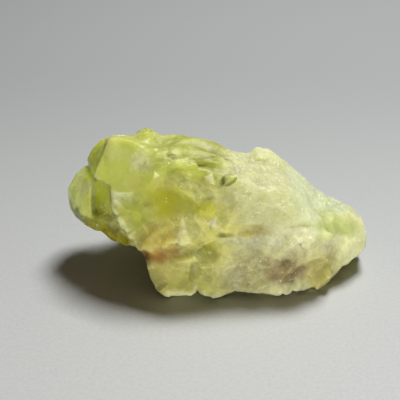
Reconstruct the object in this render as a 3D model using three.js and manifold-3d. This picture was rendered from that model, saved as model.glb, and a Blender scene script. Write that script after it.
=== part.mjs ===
// Brazilianite crystal cluster: one piece of yellow-green crystals grown into a pale granular matrix.
// Millimetres, +Z up, +X along the length. It lies on the broken underside of its matrix, at z = 0.
import * as THREE from "three";
import { ConvexGeometry } from "three/addons/geometries/ConvexGeometry.js";
import { mergeVertices } from "three/addons/utils/BufferGeometryUtils.js";
import Module from "manifold-3d";

const wasm = await Module();
wasm.setup();

// Driving dimensions of the finished stone and of what is broken off it or grown on it.
const LENGTH = 48.5;
const BASE_DEPTH = 0.12; // how far the flat break of the underside reaches above the lowest point
const GLASSY_BREAKS = { count: 34, width: [3.5, 9], depth: [0.1, 0.35], lean: 0.16 };
const ROUGH_BREAKS = { count: 36, width: [2, 5], depth: [0.1, 0.3], lean: 0.3 };
const DOME_GRAINS = { count: 40, radius: [0.7, 1.4], sunk: 0.62 };
const NUGGET_CORNERS = 18; // corners of each irregular lump
const SEED = 7;
const FAR = 80; // further than any point of the stone from any other

// A seeded random number from 0 to 1 (mulberry32), so that every run breaks the stone in the same places.
function randomFrom(seed) {
  let state = seed;
  return () => {
    state = (state + 0x6d2b79f5) | 0;
    let t = Math.imul(state ^ (state >>> 15), 1 | state);
    t = (t + Math.imul(t ^ (t >>> 7), 61 | t)) ^ t;
    return ((t ^ (t >>> 14)) >>> 0) / 4294967296;
  };
}
const random = randomFrom(SEED);
const between = (low, high) => low + (high - low) * random();

function randomDirection() {
  const z = between(-1, 1);
  const turn = between(0, 2 * Math.PI);
  const r = Math.sqrt(1 - z * z);
  return new THREE.Vector3(r * Math.cos(turn), r * Math.sin(turn), z);
}

// A closed three.js geometry as a solid that can be joined and cut.
function solidFrom(geometry, matrix = new THREE.Matrix4()) {
  const placed = geometry.clone().applyMatrix4(matrix);
  placed.deleteAttribute("normal");
  placed.deleteAttribute("uv");
  const merged = mergeVertices(placed, 1e-4);
  return new wasm.Manifold(
    new wasm.Mesh({
      numProp: 3,
      vertProperties: merged.attributes.position.array,
      triVerts: new Uint32Array(merged.index.array),
    }),
  );
}

function geometryFrom(solid) {
  const mesh = solid.getMesh();
  const geometry = new THREE.BufferGeometry();
  geometry.setAttribute("position", new THREE.BufferAttribute(new Float32Array(mesh.vertProperties), 3));
  geometry.setIndex(new THREE.BufferAttribute(new Uint32Array(mesh.triVerts), 1));
  const flat = geometry.toNonIndexed();
  flat.computeVertexNormals();
  return flat;
}

const joined = (solids) => solids.reduce((whole, solid) => whole.add(solid));

// A flat-faced lump: the convex hull of its corners.
const block = (...corners) =>
  solidFrom(new ConvexGeometry(corners.map((c) => new THREE.Vector3(...c))));

function placing([x, y, z], [turnX, turnY, turnZ], [sx, sy, sz] = [1, 1, 1]) {
  const degrees = Math.PI / 180;
  const turn = new THREE.Euler(turnX * degrees, turnY * degrees, turnZ * degrees, "ZYX");
  return new THREE.Matrix4().compose(
    new THREE.Vector3(x, y, z),
    new THREE.Quaternion().setFromEuler(turn),
    new THREE.Vector3(sx, sy, sz),
  );
}

// A crystal blade along its own X: a six-sided prism with chisel ends.
function blade(at, turn, [length, width, height]) {
  const l = length / 2;
  const w = width / 2;
  const h = height / 2;
  const corners = [];
  for (const end of [-1, 1]) {
    for (const side of [-1, 1]) {
      corners.push(
        new THREE.Vector3(end * l * 0.8, side * w, h * 0.35),
        new THREE.Vector3(end * l * 0.9, side * w * 0.9, -h * 0.6),
        new THREE.Vector3(end * l * 0.7, side * w * 0.45, h),
        new THREE.Vector3(end * l * 0.8, side * w * 0.5, -h),
        new THREE.Vector3(end * l, side * w * 0.25, -h * 0.1),
      );
    }
  }
  return solidFrom(new ConvexGeometry(corners), placing(at, turn));
}

// An irregular flat-faced lump: the hull of points scattered over an ellipsoid.
function nugget(at, [rx, ry, rz]) {
  const points = [];
  for (let i = 0; i < NUGGET_CORNERS; i += 1) {
    const reach = between(0.85, 1.1);
    const way = randomDirection();
    const corner = way.multiply(new THREE.Vector3(rx, ry, rz)).multiplyScalar(reach);
    points.push(corner.add(new THREE.Vector3(...at)));
  }
  return solidFrom(new ConvexGeometry(points));
}

const GRAIN = new THREE.IcosahedronGeometry(1, 0);

// What a break takes away: a plug that flares outwards from its flat inner end, with five sides.
const CHIP = new THREE.CylinderGeometry(1.7, 1, 1, 5).translate(0, 0.5, 0);

// Where a ray from outside, along -direction towards a centre, meets the solid first.
function surfaceHit(mesh, centre, direction) {
  const start = centre.clone().addScaledVector(direction, FAR);
  const ray = new THREE.Raycaster(start, direction.clone().negate());
  return ray.intersectObject(mesh)[0];
}

// A random point on the line that runs through a centre and reaches a spread to either side of it.
const pointAlong = (centre, spread) =>
  new THREE.Vector3(...centre).addScaledVector(new THREE.Vector3(...spread), between(-1, 1));

// The rotation that turns +Y to a direction, after a spin about +Y.
function turnedTo(normal, spin) {
  const up = new THREE.Vector3(0, 1, 0);
  const lean = new THREE.Quaternion().setFromUnitVectors(up, normal);
  return lean.multiply(new THREE.Quaternion().setFromAxisAngle(up, spin));
}

// The big pieces of the cluster, left to right. Each is a flat-faced lump that grows into its neighbours.
const mainCrystal = block(
  [-16.8, 0, 23.1], [-19.1, -3.2, 17.8], [-15.9, -6.3, 17.3], [-16.5, -7.2, 14], [-14.1, -8.7, 10.2],
  [-12.2, -9.9, 8.9], [-13.6, -1.9, 23.3], [-9.8, -5.2, 22.2], [-10.2, -7.7, 19.6],
  [-6.4, -6.5, 21.2], [-2.7, -6.2, 20.9], [2.6, -6.6, 19.4], [-4.2, -9.6, 14.3], [-8, -9.9, 14.6],
  [2.4, -9.4, 14.8], [0, -9.9, 9], [-9, -10.2, 9], [-14.3, 3.2, 21.9], [-9.4, 4.2, 21.2],
  [-3.8, 6, 20.1], [-1.7, 6, 19.5], [1.8, 4, 18.2], [4, 5, 17.3], [-16, 7, 18.5], [-9.5, 11.5, 16],
  [3, 11, 13.5], [-14.5, 9, 8], [3, 10, 5], [-10, -3, 4], [0, -5, 3],
);
const shoulder = block(
  [-20.6, 4, 17.1], [-19.6, 4.5, 18.6], [-18.2, 5, 19.9], [-19, -1, 17.4], [-16.9, 0.8, 22.5],
  [-18.6, -2.3, 15.9], [-20.4, 6.5, 15], [-14, 8, 20], [-14, 0, 12], [-17, 9.5, 12], [-19.8, 2, 13],
  [-17.6, -2.8, 14],
);
const leftLobe = block(
  [-24.2, 2, 10.9], [-23.9, 1, 9.4], [-24.1, 1.5, 13], [-22.8, 3, 15], [-21.4, 4, 15.7],
  [-22.9, -0.5, 8.9], [-22.8, -1.3, 10.5], [-21.4, -2.4, 13.6], [-21.6, -3, 11], [-20.8, -2.4, 8.5],
  [-19, -3.3, 8.2], [-19.6, -1.4, 15.7], [-19.3, -3.6, 10.6], [-19.2, -3.3, 13], [-16, -3, 8.5],
  [-16, 0, 15.5], [-23, 6, 11.5], [-22.3, 5.5, 9], [-18, 8.5, 10], [-18, 8, 14], [-20, 4, 7.6],
  [-21.5, 7, 13], [-16, -4.6, 10.4], [-16, -4.2, 16.9],
);
const underLeft = block(
  [-18.8, -2.2, 8], [-15.4, -4.2, 6.2], [-11.9, -7.8, 7.4], [-15, -5.6, 11.5], [-9, 0, 4],
  [-12, 8, 5.2], [-17, 5, 7], [-18.6, 2, 12], [-8, -6, 12], [-17, -4.4, 9.8], [-13, 2, 4.6],
);
const footLeft = block(
  [-10.9, -10.3, 6.4], [-10.6, -10.4, 3.3], [-9.7, -10.9, 1.6], [-8.2, -12.1, 1.1],
  [-4.5, -12.2, 1.1], [-8, -8.2, 0], [-4.7, -8.2, 0], [-3.5, -11.4, 1.5], [-9.9, -11.1, 2.8],
  [-6.7, -12, 7.8], [-6.6, -11.9, 2.8], [-3.8, -12.1, 7.5], [-3.4, -11.6, 3], [-3.4, -12.1, 9.6],
  [-9.4, -11, 9], [-11.6, -9.8, 9.4], [-3, -10, 11.4], [-10.4, -4, 4], [-9, -8, 0.4], [-6, -5, 0],
  [-2, -4, 0.4], [0, 0, 8],
);
const footBack = block(
  [-9.4, 4.4, 0], [-8.6, 7.4, 0.2], [-4.2, 8, 0], [-2.4, 5, 0.1], [-4.6, 2.4, 0.3], [-11.2, 6, 3.2],
  [-8, 9.6, 3.6], [-2.4, 9.4, 4], [-11.6, 3, 5.6], [-4, 1.6, 5], [-1, 6, 5], [-10.4, 9, 7],
  [-4, 10.4, 7.6],
);
const footMiddle = block(
  [-2.9, -11.4, 1.4], [-1.8, -12.1, 1.1], [1.3, -12.1, 1.1], [-1.6, -8.2, 0], [1.1, -8.2, 0],
  [2.5, -11.2, 1.4], [3.2, -10.9, 4], [-3, -11.9, 4], [-3, -12.3, 7.6], [-0.4, -12, 7.4],
  [-2.4, -12, 9.8], [2.5, -11.4, 8], [0.8, -11.7, 4], [-2, -2, 0.6], [3, -2, 0.6], [0, 0, 10],
);
const matrixBody = block(
  [3, -11, 1.3], [5, -11.4, 1.2], [9, -11.1, 1.1], [13.6, -10.8, 1.3], [5, -6.8, 0], [10, -7, 0],
  [17.2, -8.4, 0.8], [18.6, -6.4, 0.7], [20.2, -3.4, 0.7], [2, -10.3, 8], [3.4, -9.8, 12.6],
  [7.7, -9.9, 12.8], [12, -9.6, 12.2], [16, -8.4, 10.6], [8, -10.4, 6], [14.3, -9.6, 5.5],
  [17.5, -7.6, 5], [3, 5, 0.8], [8, 7, 0], [12, 6, 0], [15, 2, 0], [14, -7, 0], [19, 3, 4],
  [8, 11.4, 6.4], [16, 8, 7],
);
const rightBulge = block(
  [12.4, -9.4, 1.4], [12.6, -9.6, 6], [14.6, -10.4, 5], [14.8, -10.1, 8.4], [17.2, -8.9, 7.6],
  [18.4, -7.9, 4.4], [18.7, -7.2, 0.9], [17, -9.7, 0.7], [14.4, -10.7, 0.9], [14, -4, 1],
  [18, -4, 2], [15, -5, 9],
);
const middleFront = block(
  [-5.4, -10.4, 13.8], [-6.2, -11.4, 11.4], [-5.9, -11.9, 10], [-3.4, -11.9, 9.8], [1.8, -11.3, 11],
  [2.9, -10, 13.2], [-2.5, -9.9, 14.2], [0.6, -9.8, 14.1], [-1, -11, 12.6], [-1, -7, 15],
  [-8, -9, 13], [-5, -6, 8], [2, -6, 8], [4, -10.2, 11],
);
const paleDome = block(
  [1.2, -9.4, 14.9], [1.8, -9.7, 13.2], [8, -9.9, 13.3], [10.9, -9.7, 13.2], [14.4, -7.9, 12.9],
  [2.8, -6.8, 19.2], [5, -3.4, 18.9], [-1, 3, 19], [1.8, 4, 18.2], [3.8, 4, 17.7], [8.6, 5, 17.3],
  [10.8, 5, 16.2], [16.4, 4, 11.6], [9.6, -5.9, 17.4], [13, -5, 14.9], [6.6, -8.3, 16.4],
  [2.5, -8.9, 16.5], [14.2, -2, 14], [11, -8.3, 15], [2, 11, 12.6], [10, 11.5, 10], [3, 10, 3],
  [14, 8, 3], [5, -5, 6], [14, -5, 8],
);
const rightTip = block(
  [13, -7.4, 12.7], [15.4, -6.8, 12.2], [17, -3.5, 11.6], [17.1, 1, 10.7], [15.5, 4, 12.2],
  [20.6, -1.5, 9.9], [22.3, 3.5, 8.3], [23.4, 1.2, 7.9], [23.2, -0.6, 8], [23.8, -1.4, 6.2],
  [24.3, -1.5, 4.2], [23.9, 2.2, 0.7], [22.1, -0.9, 0.7], [20.7, -2.7, 0.7], [18.6, -7.4, 2.6],
  [20.8, -5, 3.4], [22.8, -2.7, 3.2], [15.2, -8.2, 10.1],
  [19.4, -5.6, 8], [20.3, -5.4, 6.4], [21, 6, 5.5], [15, 9, 8.5], [12, 0, 3], [22.6, 3.8, 4.4],
);

// Pale matrix behind the feet, which closes the clefts between them to a few millimetres deep.
const frontFill = block(
  [-8.6, -9.6, 1.4], [-3.2, -10.9, 2.6], [-3.2, -11.2, 8.6], [3, -10.6, 7.6], [3, -10.1, 2.4],
  [6, -10, 1.6], [7, -10.4, 10.6], [3, -9.9, 12.8], [-4, -10.2, 12.6], [-9.5, -9.6, 9],
  [-3.2, -9.6, 0.8], [3, -9.4, 0.8], [-4, 0, 1.2], [6, 0, 1.2], [0, 0, 14],
);
const masses = joined([
  mainCrystal, shoulder, leftLobe, underLeft, footLeft, footBack, footMiddle, matrixBody, rightBulge,
  middleFront, paleDome, rightTip, frontFill,
]);

// Removes a flared plug whose flat inner end passes through a point and faces a direction, which leaves
// a cleaved or broken face.
function cleaved(solid, at, facing, [width, height], spin) {
  const normal = new THREE.Vector3(...facing).normalize();
  const place = new THREE.Matrix4().compose(
    new THREE.Vector3(...at),
    turnedTo(normal, spin),
    new THREE.Vector3(width / 2, Math.max(width, height) / 2, height / 2),
  );
  return solid.subtract(solidFrom(CHIP, place));
}

const withFaces = (solid, faces) =>
  faces.reduce((whole, { at, facing, size, spin }) => cleaved(whole, at, facing, size, spin), solid);

// Breaks small faces off a solid, each leaning a little away from the surface that it is broken from.
function chipped(solid, { count, width, depth, lean }, centre, spread) {
  const mesh = new THREE.Mesh(geometryFrom(solid));
  let broken = solid;
  for (let i = 0; i < count; i += 1) {
    const hit = surfaceHit(mesh, pointAlong(centre, spread), randomDirection());
    const facing = hit.face.normal.clone().addScaledVector(randomDirection(), lean).normalize();
    const at = hit.point.addScaledVector(hit.face.normal, -between(...depth));
    const across = between(...width);
    const size = [across, across * between(0.5, 0.9)];
    broken = cleaved(broken, at.toArray(), facing.toArray(), size, between(0, 2 * Math.PI));
  }
  return broken;
}

// Crystal grains that stand out of a granular surface, sunk into it by a share of their radius.
function grained(solid, { count, radius, sunk }, centre, spread) {
  const mesh = new THREE.Mesh(geometryFrom(solid));
  let grown = solid;
  for (let i = 0; i < count; i += 1) {
    const hit = surfaceHit(mesh, pointAlong(centre, spread), randomDirection());
    const size = between(...radius);
    const at = hit.point.addScaledVector(hit.face.normal, -sunk * size);
    const stretch = [size, size * between(0.7, 1), size * between(0.6, 1)];
    const turn = [between(0, 360), between(0, 360), 0];
    grown = grown.add(solidFrom(GRAIN, placing(at.toArray(), turn, stretch)));
  }
  return grown;
}

// Broken faces all round: larger on the glassy crystals, smaller and rougher on the granular matrix.
const brokenLeft = chipped(masses, GLASSY_BREAKS, [-8, 3, 13], [8, 0, 0]);
const brokenStone = chipped(brokenLeft, ROUGH_BREAKS, [9, 0, 9], [11, 0, 0]);

// Faces that bevel the feet and the right bulge: tops first, then the sides that meet in upright edges.
const footFaces = [
  { at: [-6.8, -11.5, 8.5], facing: [-0.2, -0.8, 0.56], size: [6, 4], spin: 0.2 },
  { at: [-0.4, -11.4, 8.8], facing: [0.12, -0.78, 0.6], size: [5, 4], spin: 0.6 },
  { at: [15.2, -9.5, 8.2], facing: [0.15, -0.72, 0.66], size: [4, 3], spin: 0 },
  { at: [-9, -11, 4.4], facing: [-0.55, -0.82, -0.12], size: [7, 4], spin: 0.3 },
  { at: [-4.6, -11.6, 4.2], facing: [0.3, -0.94, -0.12], size: [6, 3], spin: 0.9 },
  { at: [-1.8, -11.6, 4.6], facing: [-0.34, -0.93, 0.1], size: [6, 3], spin: 1.4 },
  { at: [1.7, -11.1, 4.2], facing: [0.4, -0.9, -0.1], size: [6, 4], spin: 0.1 },
  { at: [13.2, -9.6, 3.6], facing: [-0.4, -0.9, -0.1], size: [6, 3], spin: 0.7 },
  { at: [17, -8.5, 4.4], facing: [0.5, -0.86, 0], size: [6, 4], spin: 0.4 },
];
const bevelled = withFaces(brokenStone, footFaces);

// Platy crystals along the top, stepped one behind another.
const plates = [
  blade([-6.6, -2.4, 21.1], [4, 12, 26], [10.5, 3.2, 1.6]),
  blade([-3.4, 1.2, 20.3], [-6, 13, 14], [11, 3.6, 1.8]),
  blade([-8.4, 1.6, 21.1], [6, 9, 6], [8.5, 3.4, 1.6]),
  blade([-1.6, -3.6, 20.5], [10, 12, -12], [9, 2.8, 1.5]),
  blade([1.4, 0.6, 19.3], [-4, 17, -6], [8, 3.6, 1.8]),
  blade([-13, 0.4, 21.9], [0, 4, 20], [5, 3, 1.6]),
];
const knobs = [
  block(
    [-12.7, 3, 22.6], [-11.3, 4, 22.8], [-10, 4, 22.4], [-9.3, 2, 22.3], [-13, 1, 22.4],
    [-10.4, -1, 22.9], [-11.6, -1, 22.8], [-11, 2, 20],
  ),
  block(
    [5.7, 5, 17.4], [6.1, 6, 17.9], [8.4, 6, 17.8], [9.2, 5, 17.2], [7.2, 2, 18.5], [10.2, 4, 16.9],
    [5.3, 2, 18.1], [8, 4, 14],
  ),
];

// Smaller crystals and lumps of the front.
const frontCrystals = [
  block(
    [0.6, -8, 18.7], [3, -6.8, 20.1], [1.8, -7, 20.2], [3, -7.8, 19.3], [1.6, -8.3, 18.4],
    [2, -6, 17.6], [3.4, -6.6, 19],
  ),
  block(
    [-3.5, -6.5, 20.5], [-0.7, -6.6, 20.3], [0, -8.2, 18.9], [-1.8, -8.2, 19.1], [-3.1, -7.4, 19.5],
    [-1.5, -5, 18],
  ),
  block(
    [-1.4, -11.3, 13.6], [-0.9, -10.6, 14.2], [0.6, -10.6, 14.4], [0.9, -11.4, 13.6],
    [0, -11.9, 12.8], [-1.1, -11.6, 12.8], [0, -9, 13],
  ),
  block(
    [-5.4, -10.8, 13.6], [-6.1, -11.8, 11.2], [-5.9, -12.3, 10], [-3.5, -12.2, 9.9],
    [-3.2, -11.6, 11.4], [-4.6, -12.6, 12], [-4.5, -9, 11],
  ),
  block(
    [-11.9, -10.1, 9.5], [-10, -10.5, 12.1], [-7.2, -10.3, 14.6], [-6, -11.1, 13],
    [-6.3, -12.1, 9.9], [-10.3, -11.3, 9], [-8, -7, 10],
  ),
  block(
    [12.4, -11.2, 9.9], [14.3, -10.3, 10.9], [15.9, -9.8, 10.2], [14, -9.8, 8.8], [13.6, -8, 10],
  ),
  block([20.4, -4.9, 7.4], [19.4, -6.2, 6.9], [21.6, -4.2, 6.2], [20.6, -5, 5.6], [20, -3, 6.4]),
];

// Lumps of the granular matrix: along the ledge, low on the front, and over the back.
const lumps = [
  nugget([4.6, -9.8, 10.4], [2.4, 1.6, 1.5]),
  nugget([7.8, -9.8, 10.5], [2.3, 1.7, 1.4]),
  nugget([10.9, -9.5, 10], [2.4, 1.8, 1.5]),
  nugget([13.9, -8.8, 9.6], [2.3, 1.8, 1.6]),
  nugget([16.4, -7.2, 9.2], [2.2, 1.8, 1.6]),
  nugget([3.4, -9.4, 7.2], [2.4, 2.1, 2.1]),
  nugget([3.5, -9, 2.9], [2.1, 1.9, 2.8]),
  nugget([7.2, -9.1, 6.4], [2.3, 1.9, 2.2]),
  nugget([6.8, -8.7, 2.4], [2, 1.7, 2.3]),
  nugget([9.9, -8.4, 1.8], [2.1, 1.4, 1.7]),
  nugget([13, -8.5, 2.6], [1.9, 1.6, 2.3]),
  nugget([13.8, -8.9, 7], [2, 1.6, 1.9]),
  nugget([-7, -9.6, 9.6], [2.6, 2, 1.5]),
  nugget([-0.6, -9.8, 10.6], [2.4, 1.9, 1.4]),
  nugget([9, 10, 6.5], [3.4, 2.2, 3]),
  nugget([3, 10.4, 9], [3, 1.8, 3.4]),
  nugget([15, 6.6, 5.4], [3, 2.4, 2.6]),
  nugget([-2.5, 9.4, 5], [3.2, 2, 2.6]),
  nugget([-13, 7.6, 7.6], [3, 2.2, 2.4]),
];

// Prisms that lie along the back of the main crystal.
const backPrisms = [
  blade([-8, 9.4, 15.4], [-38, 6, 3], [12, 3.4, 2.6]),
  blade([-3.2, 10.4, 12.8], [-52, 10, -4], [9, 3, 2.4]),
  blade([-12.6, 8.4, 12.4], [-60, -8, 12], [8, 3.2, 2.4]),
  blade([6.4, 8.8, 14], [-34, 16, -3], [8, 2.8, 2]),
];
const grown = joined([
  bevelled, ...plates, ...knobs, ...frontCrystals, ...lumps, ...backPrisms,
]);

// The flat faces that the cluster shows at a glance, and the recess of its matrix.
const smoothFace = { at: [-13.6, -4.4, 20.2], facing: [-0.43, -0.67, 0.6], size: [19, 13], spin: 0.4 };
const frostedFace = { at: [-13, -8, 15], facing: [-0.42, -0.86, 0.2], size: [9, 10], spin: 0.9 };
const tipBand = { at: [19.6, -4, 9.2], facing: [0.5, -0.8, 0.36], size: [8, 3], spin: 0.2 };
const matrixRecess = { at: [10.6, -11.9, 5.2], radii: [3.1, 2.7, 3.2] };

// The glassy hollow: a shallow trough that runs down to the right across the front of the main crystal.
const glassyHollow = block(
  [-9, -7.7, 18.9], [-6.6, -7.6, 17.6], [-4.1, -7.9, 16], [-1.6, -8.6, 15], [0.6, -9.4, 14.6],
  [-3, -10.4, 22], [1.4, -11.7, 19], [-12.4, -10.6, 14], [-6.4, -10.9, 13.2], [-10.4, -10.2, 19.6],
);

// The notch between the left lobe and the main crystal. Its left side is the upright edge of the lobe.
const notch = block(
  [-19.8, -0.9, 17.7], [-16.2, -3.7, 17.1], [-19.8, -1.5, 11], [-16.2, -4.3, 10.4],
  [-19.9, -8, 17.8], [-16.9, -9, 17.2], [-19.9, -8, 9.6], [-17.9, -9, 9],
);

const faced = withFaces(grown, [smoothFace, frostedFace, tipBand]).subtract(notch).subtract(glassyHollow);
const recessed = faced.subtract(nugget(matrixRecess.at, matrixRecess.radii));
const grainy = grained(recessed, DOME_GRAINS, [9, -1, 12], [6, 0, 0]);

// The underside is broken flat where the stone lies on it.
const ground = new THREE.BoxGeometry(FAR, FAR, FAR).translate(0, 0, BASE_DEPTH - FAR / 2);
const cluster = grainy.subtract(solidFrom(ground));

// The finished stone has its true length and stands centred over the origin.
const shape = geometryFrom(cluster);
shape.computeBoundingBox();
const { min, max } = shape.boundingBox;
const toLength = LENGTH / (max.x - min.x);
shape.translate(-(min.x + max.x) / 2, -(min.y + max.y) / 2, -min.z);
shape.scale(toLength, toLength, toLength);

const crystalCluster = new THREE.Mesh(
  shape,
  new THREE.MeshStandardMaterial({ color: 0xbcc45c, roughness: 0.35, metalness: 0 }),
);
crystalCluster.name = "crystal_cluster";

const part = new THREE.Group();
part.add(crystalCluster);
export default part;
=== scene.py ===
"""A brazilianite crystal cluster: translucent yellow-green crystals grown into a pale sugary matrix.

The stone is one piece. Its solid is remeshed finely, broken along small cleavage steps where it is glassy,
and roughened with grains where it is sugary. It has one material, whose finishes are placed by the stone's
own box.
"""

import math
import random
from dataclasses import dataclass

import bmesh
import bpy
import numpy as np
from mathutils import Euler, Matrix, Vector, kdtree, noise


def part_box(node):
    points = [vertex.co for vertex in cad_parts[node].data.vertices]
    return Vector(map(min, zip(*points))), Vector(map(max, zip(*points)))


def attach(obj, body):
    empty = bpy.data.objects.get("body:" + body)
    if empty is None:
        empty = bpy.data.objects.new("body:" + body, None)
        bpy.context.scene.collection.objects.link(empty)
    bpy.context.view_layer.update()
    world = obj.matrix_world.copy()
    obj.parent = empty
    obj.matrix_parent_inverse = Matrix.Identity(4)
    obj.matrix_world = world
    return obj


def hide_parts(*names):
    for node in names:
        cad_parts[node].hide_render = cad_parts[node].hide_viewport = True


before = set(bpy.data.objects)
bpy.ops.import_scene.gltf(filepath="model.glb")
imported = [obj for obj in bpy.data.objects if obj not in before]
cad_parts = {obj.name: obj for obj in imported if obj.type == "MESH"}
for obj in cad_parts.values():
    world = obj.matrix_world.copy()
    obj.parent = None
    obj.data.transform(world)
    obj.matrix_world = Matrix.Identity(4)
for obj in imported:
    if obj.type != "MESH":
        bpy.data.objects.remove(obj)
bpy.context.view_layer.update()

NODE = "crystal_cluster"
MM = 0.001  # everything is shaped in millimetres and scaled down at the end
MESH_STEP = 0.2  # size of the finest shape on the stone, mm
KEPT_FACES = 0.74  # share of the fine faces that stays once the shape is cut; the flattest go
SEED = 41

low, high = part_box(NODE)
low, high = np.array(low) / MM, np.array(high) / MM
length = high[0] - low[0]


def placed(share):
    """A point given as shares of the stone's length, depth and height, in millimetres."""
    return low + (high - low) * np.array(share)


# ---------------------------------------------------------------- where each finish lies


@dataclass
class Patch:
    """An egg-shaped region of the stone, where a colour, crumbs or a swell lies."""

    at: tuple  # centre, as shares of length, depth and height
    reach: tuple  # half sizes in millimetres
    shade: str = ""  # colour, sRGB hex
    tilt: float = 0.0  # degrees, turned about the depth axis
    edge: float = 0.35  # how soft the rim is, as a share of the reach
    strength: float = 1.0
    cornered: float = 0.0  # 0 for an egg, 1 for a three-cornered flake
    facing: tuple = None  # the way its crystal face looks: where the surface turns away, the patch ends
    spread: float = 14.0  # degrees that the surface may lean from that


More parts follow.
